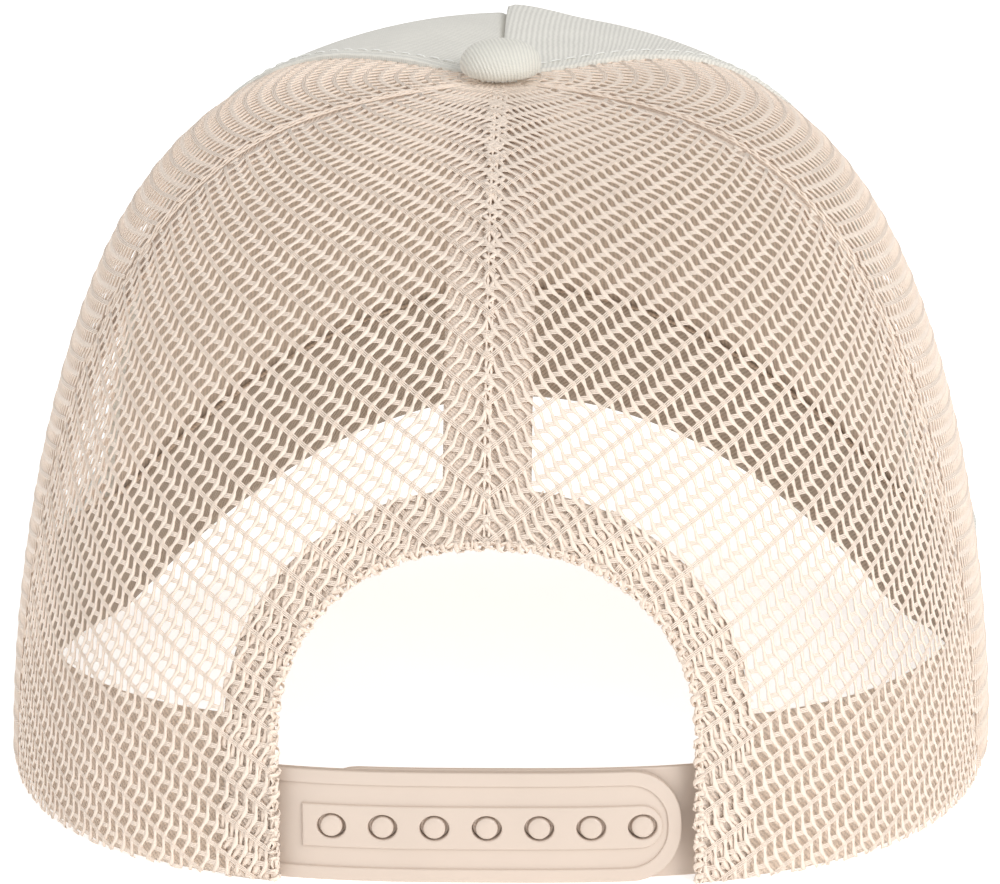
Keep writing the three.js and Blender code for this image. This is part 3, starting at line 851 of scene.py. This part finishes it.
bpy.ops.mesh.primitive_plane_add(size=6)
floor = bpy.context.object
floor.name = "floor"
floor_shader = Shader("floor", 0.9)
floor_shader.surface.inputs["Base Color"].default_value = (0.9, 0.9, 0.9, 1)
floor_shader.surface.inputs["Emission Color"].default_value = (1, 1, 1, 1)
floor_shader.surface.inputs["Emission Strength"].default_value = 0.55
floor.data.materials.append(floor_shader.material)
build_brim()


# Tapes, hem backing and sweatband

def seam_tape(name, node, seam, width, low_height, top_radius):
    low = float(climb_at_height(np.array(seam), low_height))
    high = float(climb_at_radius(np.array(seam), top_radius))
    outer = MESH_WALL + LAYER_GAP

    def place(u, v, skin):
        climb = low + (high - low) * v
        angle = seam + (u * 2 - 1) * span_angle(seam + 0 * climb, climb, width / 2)
        ridge = 0.18 * np.cos((u * 2 - 1) * math.pi * 1.5)
        return inside(angle, climb, outer - 0.65 + skin * 0.5 + ridge)

    def uv_place(u, v):
        return np.stack([u * width, v * 110], -1)

    points, faces, _, uv = skin_wall(16, 90, place, uv_place)
    piece = make_object(name, points, faces, [tape_cloth], uv=uv)
    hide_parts(node)


seam_tape("back_tape", "back_seam_tape", 0.0, 14.4, 59.0, 10.0)
for side, sign in (("left", 1), ("right", -1)):
    seam_tape(f"side_tape_{side}", f"side_seam_tape_{side}", sign * SIDE_SEAM, 10.0, 28.5, 15.0)


def build_hem():
    """Backing of the hem round the opening, and the net folded over it."""
    count = 220
    edge_x, edge_z = arch_edge(count)
    path = np.stack([edge_x, edge_z], -1)
    along = np.gradient(path, axis=0)
    along /= np.linalg.norm(along, axis=1, keepdims=True)
    outward = np.stack([along[:, 1], -along[:, 0]], -1)
    length = run_length(path)

    def place(u, v, skin):
        index = (u * (len(path) - 1)).round().astype(int)
        spot = path[index] + outward[index] * (0.9 + (HEM_WIDTH - 0.9) * v)[..., None]
        angle, climb = back_place(spot[..., 0], np.maximum(0, spot[..., 1]))
        return inside(angle, climb, MESH_WALL - 0.15 + skin * 0.5)

    def uv_place(u, v):
        index = (u * (len(path) - 1)).round().astype(int)
        return np.stack([length[index], v * HEM_WIDTH], -1)

    points, faces, _, uv = skin_wall(len(path) - 1, 8, place, uv_place)
    piece = make_object("hem_tape", points, faces, [tape_cloth], uv=uv)
    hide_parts("rear_hem")

    parts = []
    for sign in (1, -1):
        gore = Gore(*sorted((0.0, sign * SIDE_SEAM)))
        shift = (0.3 * sign + 1.0, 0.4 + 1.3)
        parts += net_parts(gore, sign, NET_BIAS + 0.12, 0.78, in_hem, shift, 1.3)
    points, faces = join_tubes(parts)
    inner_net = make_object("hem_net", points, faces, [net_yarn])

    # Rolled edge, with a loop for each chain of the net that turns over it
    steps = int(length[-1] / 0.3)
    where = np.linspace(0, length[-1], steps)
    x = np.interp(where, length, path[:, 0])
    z = np.interp(where, length, path[:, 1])
    wave = np.abs(np.sin(where * math.pi / 2.1))
    strands = []
    for shift, inset, radius in ((0.8, 0.5, 0.2), (0.7, 0.85, 0.3), (0.8, 1.25, 0.2)):
        nudge = shift + 0.42 * wave * (1 if inset < 1 else 0.5)
        out_x = np.interp(where, length, outward[:, 0])
        out_z = np.interp(where, length, outward[:, 1])
        angle, climb = back_place(x + out_x * nudge, np.maximum(0, z + out_z * nudge))
        points = inside(angle, climb, inset + 0.1 * np.sin(where * math.pi / 2.1))
        keep = np.ones((1, steps), dtype=bool)
        normals = crown_normal(angle, climb)
        strands.append(tubes(points[None], normals[None], keep, radius, radius * 0.8, 6))
    count = int(length[-1] / 1.75)
    spots = (np.arange(count) + 0.5) * length[-1] / count
    turns = np.linspace(-0.5, 1.5, 13) * math.pi
    shuffle = np.random.default_rng(4)
    spots = spots + shuffle.uniform(-0.4, 0.4, count)
    reach = 0.72 * np.where(np.arange(count) % 2 == 0, 1.0, 0.75)
    reach = (reach + shuffle.uniform(-0.12, 0.12, count))[:, None]
    away = 0.85 - reach * np.maximum(0, np.sin(turns / 2 + math.pi / 4)) ** 0.7 * 1.15
    away = away + 1.6 * np.maximum(0, np.abs(turns / math.pi - 0.5) - 0.62)
    inset = 0.8 - 0.55 * np.cos((turns / math.pi + 0.5) / 2 * math.pi) + 0 * away
    lean = np.linspace(-0.5, 0.5, 13)[None, :] * 1.7
    place = np.clip(spots[:, None] + lean, 0, length[-1])
    x = np.interp(place, length, path[:, 0]) + np.interp(place, length, outward[:, 0]) * away
    z = np.interp(place, length, path[:, 1]) + np.interp(place, length, outward[:, 1]) * away
    angle, climb = back_place(x, np.maximum(0, z))
    points = inside(angle, climb, inset)
    spot_x = np.interp(spots, length, path[:, 0])
    spot_z = np.interp(spots, length, path[:, 1])
    middle = inside(*back_place(spot_x, spot_z), 0.8)
    keep = np.ones(x.shape, dtype=bool)
    outwards = points - middle[:, None]
    outwards /= np.maximum(np.linalg.norm(outwards, axis=-1, keepdims=True), 1e-9)
    strands.append(tubes(points, outwards, keep, 0.56, 0.2, 6))
    points, faces = join_tubes(strands)
    roll = make_object("hem_edge", points, faces, [net_yarn])


build_hem()


BAND_OPENING = 0.415
BAND_WALL = 1.5
BAND_HEIGHT_FRONT = 21.5
BAND_HEIGHT_BACK = 27.5


def build_sweatband():
    opening = BAND_OPENING
    thick = BAND_WALL

    def place(u, v, skin):
        angle = opening + (2 * math.pi - 2 * opening) * u
        from_front = np.abs(angle - math.pi)
        past = smooth(math.pi - FRONT_SEAM, math.pi - FRONT_SEAM + math.radians(7), from_front)
        wall = FRONT_WALL + (MESH_WALL - FRONT_WALL) * past
        height = BAND_HEIGHT_FRONT + (BAND_HEIGHT_BACK - BAND_HEIGHT_FRONT) * (1 - np.cos(from_front)) / 2
        climb = climb_at_height(angle, v * height)
        puff = 0.35 * np.exp(-(((v - 0.06) / 0.07) ** 2)) + 0.3 * np.exp(-(((v - 0.95) / 0.06) ** 2))
        body = thick * (0.55 + puff)
        return inside(angle, climb, wall + LAYER_GAP + (0.15 if skin == 0 else 0.15 + body))

    def uv_place(u, v):
        return np.stack([u * 560, v * BAND_HEIGHT_BACK], -1)

    points, faces, slots, uv = skin_wall(380, 24, place, uv_place)
    # The inner face uses the darker copy of the sweatband cloth, which is painted shade inside the cap
    piece = make_object("band", points, faces, [band_cloth, band_painted_shade], slots=slots, uv=uv)
    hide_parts("sweatband")


build_sweatband()


# Button

BUTTON_RADIUS = 7.0
BUTTON_TALL = 6.0


def build_button():
    seat = HEIGHT + PIECE_GAP
    radius, tall = BUTTON_RADIUS, BUTTON_TALL
    rings, around = 40, 96
    profile = [(2.4, -3.0), (2.4, 0.3), (5.4, 0.15), (6.3, 0.35), (6.75, 0.9)]
    for step in range(rings + 1):
        climb = math.pi / 2 * step / rings
        profile.append((radius * math.cos(climb) ** 0.8, tall * (0.3 + 0.7 * math.sin(climb))))
    profile[-1] = (0.05, tall)
    turns = np.arange(around) * 2 * math.pi / around
    points, uv = [], []
    for distance, lift in profile:
        dent = 0.06 * np.sin(turns * 9 + 1.0) * math.exp(-(((lift - 1.0) / 1.2) ** 2))
        x = (distance + dent) * np.cos(turns)
        y = (distance + dent) * np.sin(turns)
        points.append(np.stack([x, AXIS_Y + y, np.full(around, seat + lift)], -1))
        lean = 1 + 0.3 * (1 - lift / tall)
        uv.append(np.stack([x * lean, y * lean + (tall - lift)], -1))
    points, uv = np.concatenate(points), np.concatenate(uv)
    index = np.arange(len(profile) * around).reshape(len(profile), around)
    after = np.roll(index, -1, axis=1)
    faces = np.stack([index[:-1], after[:-1], after[1:], index[1:]], -1).reshape(-1, 4).tolist()
    faces += [index[-1].tolist(), index[0][::-1].tolist()]
    piece = make_object("button_cover", points, faces, [button_twill], uv=uv)
    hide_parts("button")


build_button()


# Snap strap

STRAP_WIDTH = 18.6
STRAP_WALL = 1.1
STRAP_TUCK = 8.0
OUTER_REACH = 32.4
INNER_REACH = 30.0
STRAP_RELIEF = 0.5
HOLE_PITCH = 8.6
HOLE_COUNT = 7
STRAP_BORDER = 2.3
PEG_RADIUS = 1.8
OUTER_INSET = MESH_WALL + 0.9 + 2 * LAYER_GAP
INNER_INSET = OUTER_INSET + STRAP_WALL + STRAP_RELIEF + PIECE_GAP
STRAP_MIDDLE = STRAP_WIDTH / 2


def strap_outline(square_x, round_x, low, high, radius, spacing=1.2):
    """Closed outline in X and Z with a rounded end at round_x and small corners at square_x."""
    way = 1 if round_x > square_x else -1
    radius = min(radius, (high - low) / 2)
    turns = np.linspace(-math.pi / 2, 0, 10)
    corner = []
    for turn in turns:
        x = round_x - way * radius + way * radius * math.cos(turn)
        corner.append((x, low + radius + radius * math.sin(turn)))
    top = [(x, low + high - z) for x, z in corner[::-1]]
    run = np.arange(square_x, round_x - way * radius, way * spacing)[:-1]
    lower = [(x, low) for x in run]
    upper = [(x, high) for x in run[::-1]]
    side = [(square_x, z) for z in np.linspace(high, low, max(3, int((high - low) / spacing)))[1:-1]]
    return lower + corner + top + upper + side


def ring_of(x, half_wide, half_high, count=28):
    turns = np.arange(count) * 2 * math.pi / count
    return [(x + half_wide * math.cos(a), STRAP_MIDDLE + half_high * math.sin(a)) for a in turns]


def plate(outlines, inset_outer, inset_inner, bevel):
    """Plate with rounded edges from an outline and its holes, bent to the crown's inside.
    Returns points and faces."""
    curve = bpy.data.curves.new("plate", "CURVE")
    curve.dimensions = "2D"
    curve.fill_mode = "BOTH"
    thick = inset_inner - inset_outer
    curve.extrude = (thick / 2 - bevel)
    curve.bevel_depth = bevel
    curve.bevel_resolution = 2
    curve.offset = -bevel
    for outline in outlines:
        spline = curve.splines.new("POLY")
        spline.points.add(len(outline) - 1)
        for point, (x, z) in zip(spline.points, outline):
            point.co = (x, z, 0, 1)
        spline.use_cyclic_u = True
    holder = bpy.data.objects.new("plate", curve)
    bpy.context.scene.collection.objects.link(holder)
    graph = bpy.context.evaluated_depsgraph_get()
    made = bpy.data.meshes.new_from_object(holder.evaluated_get(graph))
    cutter = bmesh.new()
    cutter.from_mesh(made)
    spots = [vertex.co.x for vertex in cutter.verts]
    for x in np.arange(min(spots) + 0.6, max(spots) - 0.4, 2.1):
        geometry = cutter.verts[:] + cutter.edges[:] + cutter.faces[:]
        bmesh.ops.bisect_plane(cutter, geom=geometry, plane_co=(x, 0, 0), plane_no=(1, 0, 0), dist=1e-5)
    cutter.to_mesh(made)
    cutter.free()
    flat = np.empty(len(made.vertices) * 3)
    made.vertices.foreach_get("co", flat)
    flat = flat.reshape(-1, 3)
    faces = [list(face.vertices) for face in made.polygons]
    bpy.data.objects.remove(holder)
    bpy.data.curves.remove(curve)
    bpy.data.meshes.remove(made)
    angle, climb = back_place(flat[:, 0], np.maximum(0, flat[:, 1]))
    middle = (inset_outer + inset_inner) / 2
    points = inside(angle, climb, middle - flat[:, 2])
    points[:, 2] = flat[:, 1]
    return points, [face[::-1] for face in faces]


def join_plates(parts):
    points, faces, shift = [], [], 0
    for some_points, some_faces in parts:
        points.append(some_points)
        faces += [[index + shift for index in face] for face in some_faces]
        shift += len(some_points)
    return np.concatenate(points), faces


def hole_places():
    return [(index - HOLE_COUNT // 2) * HOLE_PITCH for index in range(HOLE_COUNT)]


def build_straps():
    start = ARCH_HALF_WIDTH + STRAP_TUCK
    outside = OUTER_INSET
    holes = [ring_of(x, 2.45, 2.1) for x in hole_places()]
    whole = strap_outline(start, -OUTER_REACH, 0.0, STRAP_WIDTH, 8.5)
    border = STRAP_BORDER
    inside_border = strap_outline(
        start - 0.1, -OUTER_REACH + border, border, STRAP_WIDTH - border, 6.6
    )
    plateau = strap_outline(30.8, -29.2, STRAP_MIDDLE - 3.6, STRAP_MIDDLE + 3.6, 3.6)
    face = outside + STRAP_RELIEF
    parts = [
        plate([whole] + holes, face, face + STRAP_WALL, 0.2),
        plate([whole, inside_border], outside + 0.05, face + 0.5, 0.25),
        plate([plateau] + holes, outside, face + 0.5, 0.28),
    ]
    points, faces = join_plates(parts)
    outer = make_object("strap_holes", points, faces, [strap_plastic], crease=22)
    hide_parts("strap_outer")

    whole = strap_outline(-start, INNER_REACH, 0.0, STRAP_WIDTH, 8.5)
    parts = [plate([whole], INNER_INSET, INNER_INSET + STRAP_WALL, 0.25)]
    for x in hole_places():
        turns = np.arange(24) * 2 * math.pi / 24
        rows = [(2.37, 0.86, INNER_INSET + 0.3), (2.36, 0.86, OUTER_INSET + 1.25)]
        rows += [(2.2, 0.88, OUTER_INSET + 1.15), (1.98, 0.95, OUTER_INSET + 1.15)]
        rows += [(1.85, 1.0, OUTER_INSET + 1.0), (PEG_RADIUS, 1.0, OUTER_INSET + 0.3)]
        for a in np.linspace(0.25, 1.48, 6):
            dome = PEG_RADIUS * math.cos(a) ** 0.7
            rows.append((dome, 1.0, OUTER_INSET + 0.2 - 0.42 * math.sin(a)))
        rings = []
        for radius, squash, inset in rows:
            angle, climb = back_place(np.full(24, x), np.full(24, STRAP_MIDDLE))
            base = inside(angle, climb, inset)
            ring_x = base[:, 0] + radius * np.cos(turns)
            ring_z = STRAP_MIDDLE + radius * squash * np.sin(turns)
            rings.append(np.stack([ring_x, base[:, 1], ring_z], -1))
        index = np.arange(len(rows) * 24).reshape(len(rows), 24)
        after = np.roll(index, -1, axis=1)
        quads = np.stack([index[:-1], index[1:], after[1:], after[:-1]], -1).reshape(-1, 4).tolist()
        quads += [index[-1][::-1].tolist(), index[0].tolist()]
        parts.append((np.concatenate(rings), quads))
    points, faces = join_plates(parts)
    inner = make_object("strap_pegs", points, faces, [strap_plastic], crease=22)
    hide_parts("strap_inner")


build_straps()


# Camera and light

CAMERA_ELEVATION = math.radians(16.3)
CAMERA_AZIMUTH = math.radians(-1.79)
CAMERA_ROLL = math.radians(-0.37)
CAMERA_SIDE = 3.0
CAMERA_DISTANCE = 1250.0
CAMERA_FOCAL = 7195.0
CAMERA_TARGET = 60.0
CAMERA_LOWER = 80.8


def build_camera():
    camera_data = bpy.data.cameras.new("camera")
    camera_data.sensor_width = 36
    camera_data.sensor_fit = "HORIZONTAL"
    camera_data.lens = CAMERA_FOCAL * 36 / 1000
    camera = bpy.data.objects.new("camera", camera_data)
    bpy.context.scene.collection.objects.link(camera)
    flat = math.cos(CAMERA_ELEVATION)
    away_x = math.sin(CAMERA_AZIMUTH) * flat
    away_y = math.cos(CAMERA_AZIMUTH) * flat
    away = Vector((away_x, away_y, math.sin(CAMERA_ELEVATION)))
    target = Vector((0, AXIS_Y, CAMERA_TARGET)) * MM
    camera.location = target + away * CAMERA_DISTANCE * MM
    up = Vector((0, 0, 1)) - away * away.z
    up.normalize()
    target = target - up * (CAMERA_LOWER / CAMERA_FOCAL * CAMERA_DISTANCE * MM)
    sideways = Vector((0, 0, 1)).cross(away).normalized()
    target = target - sideways * (CAMERA_SIDE / CAMERA_FOCAL * CAMERA_DISTANCE * MM)
    look = (camera.location - target).normalized()
    right = Vector((0, 0, 1)).cross(look).normalized()
    above = look.cross(right)
    turn = Matrix((right, above, look)).transposed()
    camera.rotation_euler = (turn @ Matrix.Rotation(CAMERA_ROLL, 3, "Z")).to_euler()
    bpy.context.scene.camera = camera


def area_light(name, place, aim, size, power):
    light_data = bpy.data.lights.new(name, "AREA")
    light_data.shape = "DISK"
    light_data.size = size
    light_data.energy = power
    light = bpy.data.objects.new(name, light_data)
    light.location = place
    light.rotation_euler = (Vector(place) - Vector(aim)).to_track_quat("Z", "Y").to_euler()
    bpy.context.scene.collection.objects.link(light)


build_camera()
area_light("key", (-1.1, 1.35, 1.15), (0, 0, 0.05), 1.2, 21.5)
area_light("fill", (1.3, 1.2, 0.9), (0, 0, 0.05), 1.6, 5)
area_light("front", (0.2, -1.6, 1.3), (0, 0, 0.05), 1.6, 4)
world = bpy.data.worlds.new("studio")
bpy.context.scene.world = world
world.use_nodes = True
world.node_tree.nodes["Background"].inputs["Color"].default_value = (1, 1, 1, 1)
world.node_tree.nodes["Background"].inputs["Strength"].default_value = 0.61
bpy.context.scene.view_settings.view_transform = "Standard"
